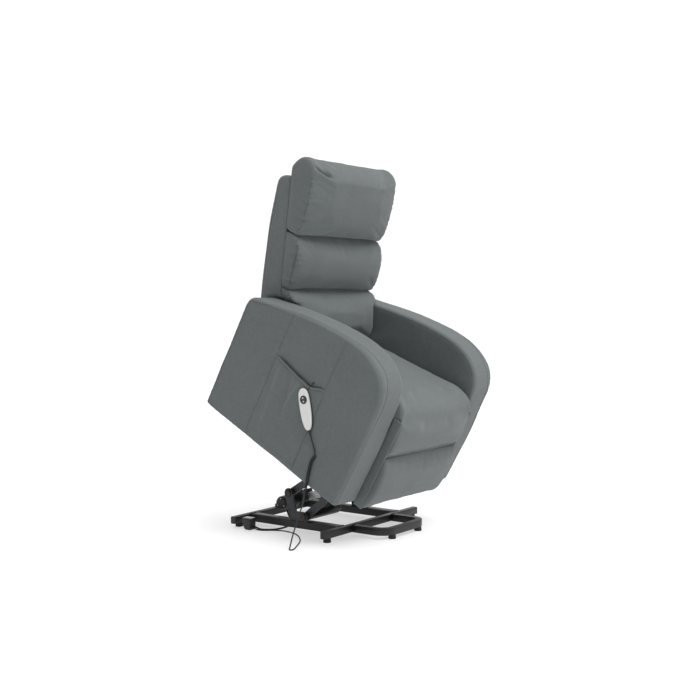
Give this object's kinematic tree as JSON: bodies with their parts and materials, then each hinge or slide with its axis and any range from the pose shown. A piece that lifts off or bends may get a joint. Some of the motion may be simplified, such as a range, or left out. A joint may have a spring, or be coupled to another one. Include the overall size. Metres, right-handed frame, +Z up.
{
  "type": "lift recliner chair",
  "caption": "Upholstered armchair on a steel base that raises and tips it forward, with a reclining back, a swing-out footrest and a hand control on a curly lead.",
  "frame": {"origin": "on the floor under the middle of the chair as it stands raised", "axes": "+Z up, the sitter faces -Y, the sitter's right is -X"},
  "size_m": [0.8464, 0.812, 1.4041],
  "materials": {
    "frame_black": "satin black powder coat",
    "linkage_grey": "charcoal paint",
    "zinc": "zinc plated",
    "black_plastic": "fine matte texture",
    "ivory_plastic": "semi gloss",
    "lead_black": "matte cable jacket",
    "rubber": "matte",
    "timber": "bare plywood and softwood",
    "upholstery": "woven linen-look polyester, mid grey"
  },
  "bodies": {
    "base": {"rail_right": "frame_black", "rail_left": "frame_black", "front_cross_tube": "frame_black", "front_loop": "frame_black", "rear_cross_bar": "frame_black", "foot_cross_right": "rubber", "foot_cross_left": "rubber", "foot_loop_right": "rubber", "foot_loop_left": "rubber", "foot_rear_right": "rubber", "foot_rear_left": "rubber", "riser_right": "linkage_grey", "riser_left": "linkage_grey", "junction_box": "black_plastic", "junction_box_cover": "black_plastic", "floor_lead": "lead_black", "motor_lead": "lead_black"},
    "rear_links": {"rear_link_right": "linkage_grey", "rear_link_left": "linkage_grey"},
    "front_links": {"front_link_right": "linkage_grey", "front_link_left": "linkage_grey", "drive_tube": "frame_black"},
    "actuator": {"actuator_gearbox": "black_plastic", "actuator_motor": "black_plastic", "actuator_rail": "zinc"},
    "actuator_rod": {"actuator_rod": "zinc"},
    "lift_frame": {"seat_box_side_right": "timber", "seat_box_side_left": "timber", "hanger_right": "linkage_grey", "hanger_left": "linkage_grey", "lift_tube_front": "frame_black", "lift_tube_rear": "frame_black", "seat_deck": "timber", "seat_cushion": "upholstery", "arm_right": "upholstery", "arm_left": "upholstery", "side_pocket": "upholstery", "handset_hook": "black_plastic", "handset_back": "black_plastic", "handset_front": "ivory_plastic", "handset_lead": "lead_black", "handset_coil": "lead_black"},
    "backrest": {"back_shell": "upholstery", "back_stile_right": "timber", "back_stile_left": "timber", "back_rail_bottom": "timber", "back_rail_top": "timber", "back_cushion_lower": "upholstery", "back_cushion_middle": "upholstery", "back_cushion_head": "upholstery"},
    "footrest": {"footrest_board": "timber", "footrest_upper_pad": "upholstery", "footrest_lower_pad": "upholstery"},
    "scissor_long": {"scissor_long_right": "zinc", "scissor_long_left": "zinc"},
    "scissor_short": {"scissor_short_right": "zinc", "scissor_short_left": "zinc"},
    "button_up": {"button_up": "black_plastic"},
    "button_down": {"button_down": "black_plastic"}
  },
  "joints": [
    {"name": "lift", "type": "hinge", "parent": "base", "child": "lift_frame", "pos_m": [0, -0.4444, 0.27], "axis": [-1, 0, 0], "range_deg": [0, 28.88], "deforming": ["floor_lead"]},
    {"name": "rear_link_turn", "type": "hinge", "parent": "base", "child": "rear_links", "pos_m": [0, 0.1539, 0.1436], "axis": [1, 0, 0], "range_deg": [0, 41]},
    {"name": "front_link_turn", "type": "hinge", "parent": "base", "child": "front_links", "pos_m": [0, 0.0805, 0.0605], "axis": [1, 0, 0], "range_deg": [0, 35]},
    {"name": "actuator_tilt", "type": "hinge", "parent": "base", "child": "actuator", "pos_m": [0, 0.335, 0.064], "axis": [-1, 0, 0], "range_deg": [0, 0.5]},
    {"name": "actuator_stroke", "type": "slide", "parent": "actuator", "child": "actuator_rod", "axis": [0, -0.9633, 0.2684], "range_m": [0, 0.046]},
    {"name": "backrest_recline", "type": "hinge", "parent": "lift_frame", "child": "backrest", "pos_m": [0, 0.22971, 0.65735], "axis": [-1, 0, 0], "range_deg": [0, 40]},
    {"name": "footrest_swing", "type": "hinge", "parent": "lift_frame", "child": "footrest", "pos_m": [0, -0.43512, 0.47337], "axis": [-1, 0, 0], "range_deg": [0, 85]},
    {"name": "scissor_long_turn", "type": "hinge", "parent": "lift_frame", "child": "scissor_long", "pos_m": [0, -0.2422, 0.38449], "axis": [-1, 0, 0], "range_deg": [0, 127]},
    {"name": "scissor_short_turn", "type": "hinge", "parent": "scissor_long", "child": "scissor_short", "pos_m": [0, -0.0316, 0.34121], "axis": [1, 0, 0], "range_deg": [0, 104.5]},
    {"name": "button_up_press", "type": "slide", "parent": "lift_frame", "child": "button_up", "axis": [1, 0, 0], "range_m": [0, 0.001], "stiffness_N_per_m": 400, "springref_m": -0.001},
    {"name": "button_down_press", "type": "slide", "parent": "lift_frame", "child": "button_down", "axis": [1, 0, 0], "range_m": [0, 0.001], "stiffness_N_per_m": 400, "springref_m": -0.001}
  ],
  "couplings": [
    {"joint": "rear_link_turn", "follows": "lift", "ratio": 1.4107},
    {"joint": "front_link_turn", "follows": "lift", "ratio": 1.194},
    {"joint": "actuator_tilt", "follows": "lift", "ratio": 0.012947},
    {"joint": "actuator_stroke", "follows": "lift", "m_per_rad": 0.089329},
    {"joint": "scissor_long_turn", "follows": "footrest_swing", "ratio": 1.4917},
    {"joint": "scissor_short_turn", "follows": "footrest_swing", "ratio": 1.2259}
  ]
}
